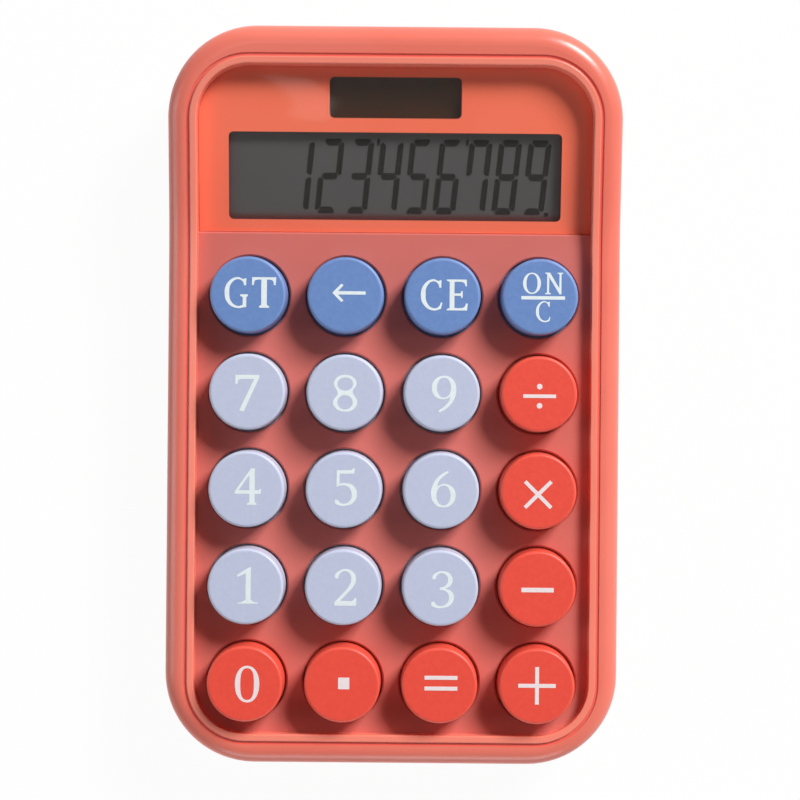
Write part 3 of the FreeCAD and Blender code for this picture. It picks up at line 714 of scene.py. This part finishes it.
shapes = {  # drawn on a grid where a digit is 37 high
    "0": [ellipse(12.4, 18.7, 12.6, 18.9), ellipse(12.4, 18.7, 6.5, 15.5)],
    "1": [[(0.9, 0), (21.8, 0), (21.8, 1.7), (17.2, 2.6, 1), (14.5, 4.6), (14.5, 37), (12.6, 37),
           (0, 29.2), (0.8, 26.6), (8.8, 30.2), (8.8, 4.6), (5.6, 2.6, 1), (0.9, 1.7)]],
    "2": [[(0, 0), (22.2, 0), (22.7, 8.3), (20.3, 8.3), (19.4, 6.4, 1), (17.6, 5.4), (6.4, 5.4),
           (13.0, 12.2, 1), (19.4, 19.4, 1), (22.2, 27.2, 1), (18.7, 34.8, 1), (11.5, 37.4, 1),
           (4.5, 35.2, 1), (0.6, 31.2, 1), (0.5, 27.4), (4.0, 27.0), (6.2, 32.6, 1), (10.8, 34.6, 1),
           (15.2, 32.0, 1), (16.7, 26.8, 1), (14.0, 19.4, 1), (7.2, 11.4, 1), (0, 3.8)]],
    "3": [[(0.2, 6.8), (0.1, 2.6, 1), (4.8, 0.4, 1), (10.5, 0, 1), (19.6, 3.3, 1), (23.2, 11.0, 1),
           (20.8, 17.2, 1), (15.2, 19.9), (19.8, 23.0, 1), (21.8, 28.6, 1), (18.8, 35.0, 1),
           (11.2, 37.6, 1), (4.8, 36.0, 1), (1.0, 32.2, 1), (1.0, 28.9), (4.4, 28.7), (6.4, 33.2, 1),
           (10.5, 34.8, 1), (15.0, 32.8, 1), (16.4, 28.0, 1), (13.8, 22.8, 1), (8.2, 21.0), (8.2, 18.3),
           (14.6, 16.8, 1), (17.6, 10.8, 1), (15.2, 5.0, 1), (9.6, 2.7, 1), (5.6, 3.9, 1), (3.6, 7.0)]],
    "4": [[(12.3, 0), (22.6, 0), (22.6, 1.7), (20.6, 3.2), (20.6, 11.0), (26.4, 11.0), (27.0, 16.6),
           (25.3, 16.6), (24.4, 15.2), (20.6, 15.2), (20.6, 37.1), (16.4, 37.1), (0, 13.8), (0, 11.0),
           (14.7, 11.0), (14.7, 3.2), (12.3, 1.7)],
          [(14.7, 15.2), (4.6, 15.2), (14.7, 29.8)]],
    "5": [[(1.8, 36.4), (16.4, 36.4), (18.6, 38.3), (20.6, 38.3), (19.8, 32.3), (5.4, 32.3), (5.2, 23.0),
           (10.5, 23.6, 1), (19.5, 20.4, 1), (22.8, 12.4, 1), (19.2, 3.6, 1), (9.5, 0, 1), (3.2, 0.9, 1),
           (0.1, 3.2, 1), (0.2, 6.9), (3.8, 6.6), (5.8, 3.9, 1), (9.4, 2.8, 1), (14.8, 5.2, 1),
           (16.9, 11.6, 1), (14.4, 18.2, 1), (8.6, 20.5, 1), (1.7, 19.0)]],
    "6": shifted(nine, 25.2, 37.5, turn=-1),
    "7": [[(0, 37), (24.7, 37), (24.7, 34.2), (9.4, 0), (4.0, 0.6), (18.8, 32.3), (5.6, 32.3),
           (3.6, 31.0, 1), (2.8, 27.0), (0.2, 27.4)]],
    "8": [[(12.5, 37.5, 1), (20.8, 35.0, 1), (24.2, 28.6, 1), (20.4, 20.4, 1), (25.0, 10.2, 1),
           (21.4, 2.8, 1), (12.4, 0, 1), (3.6, 2.8, 1), (0, 9.8, 1), (4.6, 18.6, 1), (0.8, 28.0, 1),
           (4.2, 35.0, 1)],
          ellipse(12.5, 28.0, 7.4, 6.2), ellipse(12.4, 9.7, 7.2, 6.8)],
    "9": nine,
    "total": [*letterG, *shifted(letterT, 27.3, 0.5)],
    "back": [[(33.2, 1.9), (33.8, 1.2), (33.8, -1.2), (33.2, -1.9), (6.2, -1.9), (11.2, -7.0),
              (11.2, -8.2), (9.6, -9.2), (8.6, -9.2), (0.2, -0.6), (0.2, 0.6), (8.6, 9.2), (9.6, 9.2),
              (11.2, 8.2), (11.2, 7.0), (6.2, 1.9)]],
    "clear_entry": [*letterC, *shifted(letterE, 26.0, 0.3)],
    "on_clear": [*shifted(letterO, 1.5, 28.0), *shifted(letterN, 23.7, 28.0), bar(22.2, 24.6, 44.4, 4.0),
                 *shifted(letterC, 14.8, 0, 0.68)],
    "divide": [bar(0, 0, 33.5, 4.1), ellipse(0, 9.6, 3.2, 3.2), ellipse(0, -9.6, 3.2, 3.2)],
    "times": [[(-14.8, 11.8), (-11.8, 14.8), (0, 3.1), (11.8, 14.8), (14.8, 11.8), (3.1, 0),
               (14.8, -11.8), (11.8, -14.8), (0, -3.1), (-11.8, -14.8), (-14.8, -11.8), (-3.1, 0)]],
    "minus": [bar(0, 0, 33, 5.1)],
    "plus": [cross(19.0, 2.25)],
    "equals": [bar(0, 5.4, 33.5, 4.5), bar(0, -5.4, 33.5, 4.5)],
    "point": [bar(0, 0, 11.8, 12.2, 0.6)],
}
legend = {  # print on the key tops, each nudged from the middle of its key by so many grid steps
    "unit": 0.0001954,  # a grid step in metres
    "thick": 0.00004,
    "thin": 0.28,  # how many grid steps the edges of the ink draw in
    "nudge": {"total": (2.5, 1.6), "back": (3.9, 2.2), "clear_entry": (1.6, 1.0), "on_clear": (3.0, -0.6),
              "7": (0.1, -1.4), "8": (0.7, -0.8), "9": (2.1, -0.8), "divide": (0.3, -2.0),
              "4": (1.7, 2.5), "5": (2.3, 2.8), "6": (2.3, 1.7), "times": (-0.3, -3.0),
              "1": (2.0, 1.0), "2": (2.7, 0.0), "3": (2.6, -1.4), "minus": (-0.1, -1.0),
              "0": (2.6, -0.1), "point": (1.8, 1.4), "equals": (1.6, 2.5), "plus": (0.2, 0.7)},
}


def within(point, loop):
    odd = False
    for first, second in zip(loop, loop[1:] + loop[:1]):
        if (first[1] > point[1]) != (second[1] > point[1]):
            share = (point[1] - first[1]) / (second[1] - first[1])
            odd ^= point[0] < first[0] + share * (second[0] - first[0])
    return odd


def leftOf(first, second):  # unit vector to the left of the way from first to second
    way = (second - first).normalized()
    return Vector((-way.y, way.x))


def thinned(loops, reach):  # ink outlines drawn in, the holes in them let out
    drawn = []
    for loop in loops:
        spots = [Vector(mark[:2]) for mark in loop]
        before, after = spots[-1:] + spots[:-1], spots[1:] + spots[:1]
        area = sum(a.x * b.y - a.y * b.x for a, b in zip(spots, after))
        hole = any(within(loop[0], other) for other in loops if other is not loop)
        step = reach if (area > 0) != hole else -reach
        moved = []
        for last, here, ahead, mark in zip(before, spots, after, loop):
            one, two = leftOf(last, here), leftOf(here, ahead)
            here = here + (one + two) * step / max(1 + one.dot(two), 0.5)
            moved.append((here.x, here.y, *mark[2:]))
        drawn.append(moved)
    return drawn


def centred(loops):
    xs = [p[0] for loop in loops for p in loop]
    ys = [p[1] for loop in loops for p in loop]
    return shifted(loops, -(min(xs) + max(xs)) / 2, -(min(ys) + max(ys)) / 2)


inks = {colour: inkMaterial(name, inkLook) for colour, name in
        (("blue", "mint"), ("lavender", "mint"), ("red", "blush"))}
for colour, names in keyColours.items():
    for name in names:
        x, y = legend["nudge"][name]
        spot = keyTop(name) + Vector((x * legend["unit"], y * legend["unit"], legend["thick"] / 4))
        outlines = thinned(centred(shapes[name]), legend["thin"])
        place = Matrix.Translation(spot)
        piece = cutOut("legend_" + name, outlines, legend["unit"], legend["thick"], place, inks[colour])
        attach(piece, "key_body_" + name)
print("legends printed")


digits = {  # the number shown, drawn as slanted bars in the glass, in metres along the slope
    "shown": "123456789",
    "wide": 0.00460,
    "tall": 0.01484,
    "level": 0.00140,
    "upright": 0.00116,
    "gap": 0.00018,
    "pitch": 0.00586,
    "right": 0.02955,
    "front": 0.00351,
    "slant": math.tan(math.radians(5.85)),
    "thick": 0.00003,
    "levelIn": 0.35,
    "uprightIn": 0.40,
    "outerCut": 0.6,
    "innerCut": 0.8,
    "ticks": (3, 6),
    "tick": (-0.0007, -0.0002, 0.0013),
    "point": (0.0001, 0.0010, -0.0003, 0.0005),
}
barsOf = {"1": "bc", "2": "abged", "3": "abgcd", "4": "fgbc", "5": "afgcd", "6": "afgedc", "7": "fabc",
          "8": "abcdefg", "9": "abcdfg"}


def segment(tip, end, outward, thick, share):
    # six-sided bar from tip to end, its points this share of the thickness in from the outward side
    tip, end = Vector(tip), Vector(end)
    along = (end - tip).normalized()
    out, back = outward * thick * share, -outward * thick * (1 - share)
    near = along * thick * share * digits["outerCut"]
    far = along * thick * (1 - share) * digits["innerCut"]
    return [tip, tip + near + out, end - near + out, end, end - far + back, tip + far + back]


def oblong(x, y, farX, farY):  # upright four-sided mark between two corners
    return [Vector(corner) for corner in ((x, y), (farX, y), (farX, farY), (x, farY))]


def digitBars(figure, look):
    level, upright, gap = look["level"], look["upright"], look["gap"]
    levelIn, uprightIn = look["levelIn"], look["uprightIn"]
    sideIn, endIn = upright * uprightIn, level * levelIn
    left, right = sideIn, look["wide"] - sideIn
    low, middle, high = endIn, look["tall"] / 2, look["tall"] - endIn
    up, across = Vector((0, 1)), Vector((1, 0))
    made = {
        "a": ((left + gap, high), (right - gap, high), up, level, levelIn),
        "d": ((left + gap, low), (right - gap, low), -up, level, levelIn),
        "g": ((left + gap, middle), (right - gap, middle), up, level, 0.5),
        "f": ((left, high - gap), (left, middle + gap), -across, upright, uprightIn),
        "b": ((right, high - gap), (right, middle + gap), across, upright, uprightIn),
        "e": ((left, middle - gap), (left, low + gap), -across, upright, uprightIn),
        "c": ((right, middle - gap), (right, low + gap), across, upright, uprightIn),
    }
    return [segment(*made[name]) for name in barsOf[figure]]


def displayLoops(look):
    loops = []
    count = len(look["shown"])
    for index, figure in enumerate(look["shown"]):
        x = look["right"] - look["wide"] - (count - 1 - index) * look["pitch"]
        cell = digitBars(figure, look)
        if index in look["ticks"]:
            left, right, tall = look["tick"]
            cell.append(oblong(left, look["tall"], right, look["tall"] - tall))
        if index == count - 1:
            left, right, front, rear = look["point"]
            cell.append(oblong(look["wide"] + left, front, look["wide"] + right, rear))
        loops += [[(x + p.x + p.y * look["slant"], p.y) for p in loop] for loop in cell]
    return loops


slope = Matrix.Translation(display["hinge"]) @ Matrix.Rotation(display["slope"], 4, "X")
onGlass = slope @ Matrix.Translation((0, digits["front"], -display["glassDepth"] + digits["thick"] / 2))
darkLook = {"dark": (0.013, 0.011, 0.010), "grey": (0.022, 0.019, 0.018), "filmScale": 2500.0}


def segmentMaterial(look):
    finish = Finish("segmentDark")
    film = finish.noise(look["filmScale"], 2.0)
    return finish.done({
        "Base Color": finish.blend(film, look["dark"], look["grey"]),
        "Roughness": 0.45 + film * 0.1,
        "IOR": 1.2,
    })


shown = cutOut("lcd_digits", displayLoops(digits), 1.0, digits["thick"], onGlass, segmentMaterial(darkLook))
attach(shown, "case")
print("display digits drawn")


# rubber keypad: a sheet with holes, a dome over each hole and a carbon pill in each dome
matLook = {
    "dark": (0.60, 0.60, 0.58),
    "pale": (0.70, 0.70, 0.68),
    "grain": 2400.0,
    "rough": 0.55,
    "relief": 0.00002,
    "half": 0.0350,
    "front": -0.06275,
    "rear": 0.02645,
    "corner": 0.002,
    "thick": 0.0010,
    "under": 0.0079,
    "holeRadius": 0.0043,
    "postRadius": 0.0028,
    "posts": ((0.01905, 0.01042), (-0.01905, 0.01042), (0.01905, -0.04673), (-0.01905, -0.04673),
              (0, -0.00863)),
}
domeLook = {"foot": 0.0050, "crown": 0.0034, "web": 0.0007, "base": 0.0089, "knee": 0.01215, "top": 0.0129,
            "soft": 0.00025, "facets": 40, "travel": 0.0025}
pillLook = {
    "dark": (0.014, 0.014, 0.015),
    "pale": (0.040, 0.040, 0.042),
    "grain": 4200.0,
    "rough": 0.50,
    "relief": 0.00001,
    "radius": 0.0020,
    "under": 0.01045,
    "top": 0.0114,
    "soft": 0.00015,
    "dish": 0.3,
    "facets": 32,
}
smoothAngle = math.radians(35)


def pickFaces(piece, wanted):  # in edit mode, with only the wanted faces selected
    bpy.ops.object.mode_set(mode="EDIT")
    bpy.ops.mesh.select_mode(type="FACE")
    bpy.ops.mesh.select_all(action="DESELECT")
    bpy.ops.object.mode_set(mode="OBJECT")
    for face in piece.data.polygons:
        face.select = wanted(face)
    bpy.ops.object.mode_set(mode="EDIT")


def facesUp(face):
    return face.normal.z > 0.9


def facesDown(face):
    return face.normal.z < -0.9


def settle(piece):  # put the object's place into its mesh and shade its round faces smooth
    bpy.ops.object.mode_set(mode="OBJECT")
    takeUp(piece)
    bpy.ops.object.transform_apply(location=True, rotation=True, scale=True)
    bpy.ops.object.shade_smooth_by_angle(angle=smoothAngle)


def makeDome(look, material):
    bpy.ops.object.select_all(action="DESELECT")
    tall = look["knee"] - look["base"]
    bpy.ops.mesh.primitive_cone_add(vertices=look["facets"], radius1=look["foot"], radius2=look["crown"],
                                    depth=tall, location=(0, 0, look["base"] + tall / 2))
    dome = bpy.context.active_object
    pickFaces(dome, facesUp)
    bpy.ops.mesh.extrude_region_move(TRANSFORM_OT_translate={"value": (0, 0, look["top"] - look["knee"])})
    bpy.ops.mesh.bevel(offset=look["soft"], segments=3, affect="EDGES")
    pickFaces(dome, facesDown)
    bpy.ops.mesh.delete(type="FACE")
    bpy.ops.object.mode_set(mode="OBJECT")
    wall = dome.modifiers.new("wall", "SOLIDIFY")
    wall.thickness = look["web"]
    wall.offset = -1
    bpy.ops.object.modifier_apply(modifier=wall.name)
    settle(dome)
    dome.data.materials.append(material)
    return dome


def makePill(look, material):
    bpy.ops.object.select_all(action="DESELECT")
    tall = look["top"] - look["under"]
    bpy.ops.mesh.primitive_cylinder_add(vertices=look["facets"], radius=look["radius"], depth=tall,
                                        location=(0, 0, look["under"] + tall / 2))
    pill = bpy.context.active_object
    pickFaces(pill, facesDown)
    bpy.ops.mesh.bevel(offset=look["soft"], segments=3, affect="EDGES")
    pickFaces(pill, facesUp)
    bpy.ops.mesh.inset(thickness=look["radius"] * look["dish"], depth=-look["soft"])
    settle(pill)
    pill.data.materials.append(material)
    return pill


def copyTo(model, name, x, y, z=0.0):
    piece = model.copy()
    piece.data = model.data.copy()
    piece.name = name
    piece.data.transform(Matrix.Translation((x, y, z)))
    bpy.context.scene.collection.objects.link(piece)
    return piece


def keypadPieces(mat, domeShape, pillShape):
    rubber = mouldedMaterial("keypadRubber", mat)
    carbon = mouldedMaterial("pillCarbon", pillShape)
    dome = makeDome(domeShape, rubber)
    pill = makePill(pillShape, carbon)
    places = {name: keyTop(name) for row in keyRows for name in row}
    wide, deep = 2 * mat["half"], mat["rear"] - mat["front"]
    loops = [bar(0, (mat["front"] + mat["rear"]) / 2, wide, deep, mat["corner"])]
    loops += [ellipse(place.x, place.y, mat["holeRadius"], mat["holeRadius"]) for place in places.values()]
    loops += [ellipse(x, y, mat["postRadius"], mat["postRadius"]) for x, y in mat["posts"]]
    middle = Matrix.Translation((0, 0, mat["under"] + mat["thick"] / 2))
    sheet = cutOut("keypad_sheet", loops, 1.0, mat["thick"], middle, rubber)
    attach(sheet, "case")
    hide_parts("keypad_mat")
    for name, place in places.items():
        cover = copyTo(dome, "dome_" + name, place.x, place.y)
        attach(cover, "case")
        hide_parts("keypad_mat")
        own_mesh(cover)
        dot = copyTo(pill, "pill_" + name, place.x, place.y)
        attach(dot, "key_body_" + name)
        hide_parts("contact_pills")
    bpy.data.objects.remove(dome)
    bpy.data.objects.remove(pill)


keypadPieces(matLook, domeLook, pillLook)
print("rubber keypad made")


# display window: a clear plate with eased edges, a hair above the printed film
def lensPiece(look, material):
    along = 1 / math.cos(display["slope"])
    front, rear = ((look[end] - display["hinge"][1]) * along for end in ("front", "rear"))
    half, bend = look["half"], look["round"]
    turns = [math.radians(angle) for angle in range(0, 91, look["cornerStep"])]
    loop = [(-half, front), (half, front)]
    loop += [(half - bend + bend * math.cos(turn), rear - bend + bend * math.sin(turn)) for turn in turns]
    loop += [(bend - half - bend * math.sin(turn), rear - bend + bend * math.cos(turn)) for turn in turns]
    place = slope @ Matrix.Translation((0, 0, -look["thick"] / 2))
    piece = cutOut("display_window", [loop], 1.0, look["thick"], place, material)
    bpy.ops.object.mode_set(mode="EDIT")
    bpy.ops.mesh.select_all(action="SELECT")
    bpy.ops.mesh.dissolve_limited(angle_limit=math.radians(1))
    pickFaces(piece, facesUp)
    bpy.ops.mesh.bevel(offset=look["soft"], segments=2, affect="EDGES")
    settle(piece)
    return piece


window = lensPiece(lensLook, nodes["display_lens"].material_slots[0].material)
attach(window, "case")
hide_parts("display_lens")
print("display window made")


# case screws: pan heads with a cross recess, driven from below
screwLook = {
    "facets": 40,
    "headRadius": 0.0022,
    "headTall": 0.0014,
    "shankRadius": 0.0011,
    "shankLong": 0.0070,
    "tip": 0.15,
    "crown": 0.0005,
    "crossReach": 0.00120,
    "crossHalf": 0.00026,
    "crossDeep": 0.0008,
    "seat": 0.0050,
    "places": ((0.0381, 0.010423), (0.0381, -0.046727), (0.0190, 0.065352)),
}


def makeScrew(look, material):
    bpy.ops.object.select_all(action="DESELECT")
    bpy.ops.mesh.primitive_cylinder_add(vertices=look["facets"], radius=look["headRadius"],
                                        depth=look["headTall"], location=(0, 0, -look["headTall"] / 2))
    screw = bpy.context.active_object
    pickFaces(screw, facesDown)
    bpy.ops.mesh.bevel(offset=look["crown"], segments=4, affect="EDGES")
    pickFaces(screw, facesUp)
    bpy.ops.mesh.inset(thickness=look["headRadius"] - look["shankRadius"])
    for rise in (look["shankLong"] - look["shankRadius"], look["shankRadius"]):
        bpy.ops.mesh.extrude_region_move(TRANSFORM_OT_translate={"value": (0, 0, rise)})
    bpy.ops.transform.resize(value=(look["tip"], look["tip"], 1.0))
    settle(screw)
    low = Matrix.Translation((0, 0, -look["headTall"]))
    outline = cross(look["crossReach"], look["crossHalf"])
    recess = cutOut("recess", [outline], 1.0, 2 * look["crossDeep"], low, material)
    takeUp(screw)
    cut = screw.modifiers.new("recess", "BOOLEAN")
    cut.operation = "DIFFERENCE"
    cut.object = recess
    bpy.ops.object.modifier_apply(modifier=cut.name)
    bpy.data.objects.remove(recess)
    screw.data.materials.clear()
    screw.data.materials.append(material)
    return screw


def screwSet(look, material):
    screw = makeScrew(look, material)
    places = [(side * x, y) for side in (-1, 1) for x, y in look["places"]]
    pieces = [copyTo(screw, "case_screw_set", x, y, look["seat"]) for x, y in places]
    bpy.data.objects.remove(screw)
    takeUp(pieces[0])
    for piece in pieces:
        piece.select_set(True)
    bpy.ops.object.join()
    return bpy.context.view_layer.objects.active


screws = screwSet(screwLook, screwSteel)
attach(screws, "case")
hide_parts("case_screws")
print("screws made")


# studio: pale floor, soft key from the upper right, pale cards at the left, the front and overhead
studio = {
    "floorSize": 6.0,
    "floorDrop": 0.00002,
    "floorWhite": (0.90, 0.90, 0.90),
    "floorShare": 0.96,
    "surround": 0.01,
}
lamps = {
    "keyLamp": {"power": 68.0, "wide": 0.73, "tall": 0.73, "away": 2.20, "elevation": 36, "bearing": 48},
    "leftCard": {"power": 4.6, "wide": 0.50, "tall": 0.90, "away": 1.50, "elevation": 18.5, "bearing": 180},
    "overCard": {"power": 0.34, "wide": 0.29, "tall": 0.105, "away": 1.00, "elevation": 78.5, "bearing": 164},
    "frontCard": {"power": 2.3, "wide": 0.70, "tall": 0.30, "away": 0.80, "elevation": 12, "bearing": 270},
}


def seenRays(finish):  # rays that should find a white background
    total = finish.node("LightPath", output="Is Camera Ray")
    for name in ("Is Glossy Ray", "Is Transmission Ray"):
        total = total + finish.node("LightPath", output=name)
    return total.atMost(1.0)


def floorMaterial(look):
    finish = Finish("studioFloor")
    soft = finish.node("BsdfDiffuse", sockets={"Color": (*look["floorWhite"], 1.0)})
    white = finish.node("Emission", sockets={"Strength": 1.0})
    share = seenRays(finish) * look["floorShare"]
    return finish.ended(finish.node("MixShader", sockets={0: share, 1: soft, 2: white}))


def buildStudio(look):
    bpy.ops.object.select_all(action="DESELECT")
    bpy.ops.mesh.primitive_plane_add(size=look["floorSize"], location=(0, 0, cadLow.z - look["floorDrop"]))
    floor = bpy.context.active_object
    floor.name = "floor"
    floor.data.materials.append(floorMaterial(look))
    world = bpy.data.worlds.new("studio")
    world.use_nodes = True
    bpy.context.scene.world = world
    sky = Finish("studio", world.node_tree)
    level = look["surround"] + seenRays(sky) * (1.0 - look["surround"])
    glow = sky.node("Background", sockets={"Color": (1, 1, 1, 1), "Strength": level})
    end = sky.tree.nodes.new("ShaderNodeOutputWorld")
    sky.tree.links.new(glow.socket, end.inputs["Surface"])


def addLamp(name, look):
    elevation, bearing = math.radians(look["elevation"]), math.radians(look["bearing"])
    flat = math.cos(elevation)
    aim = Vector((math.cos(bearing) * flat, math.sin(bearing) * flat, math.sin(elevation)))
    bpy.ops.object.light_add(type="AREA", location=aim * look["away"])
    lamp = bpy.context.active_object
    lamp.name = name
    lamp.rotation_euler = aim.to_track_quat("Z", "Y").to_euler()
    lamp.data.shape = "RECTANGLE"
    lamp.data.size = look["wide"]
    lamp.data.size_y = look["tall"]
    lamp.data.energy = look["power"]


buildStudio(studio)
for name, look in lamps.items():
    addLamp(name, look)
print("studio lit")


# camera: straight down, as the photograph was taken
cameraLook = {"place": (0.00135, -0.00047, 0.441), "turn": math.radians(0.5), "lens": 96.4, "sensor": 36.0,
              "nearest": 0.01}
bpy.ops.object.camera_add(location=cameraLook["place"], rotation=(0, 0, cameraLook["turn"]))
camera = bpy.context.active_object
camera.data.lens = cameraLook["lens"]
camera.data.sensor_width = cameraLook["sensor"]
camera.data.clip_start = cameraLook["nearest"]
bpy.context.scene.camera = camera
bpy.context.scene.view_settings.view_transform = "Standard"
print("camera set")
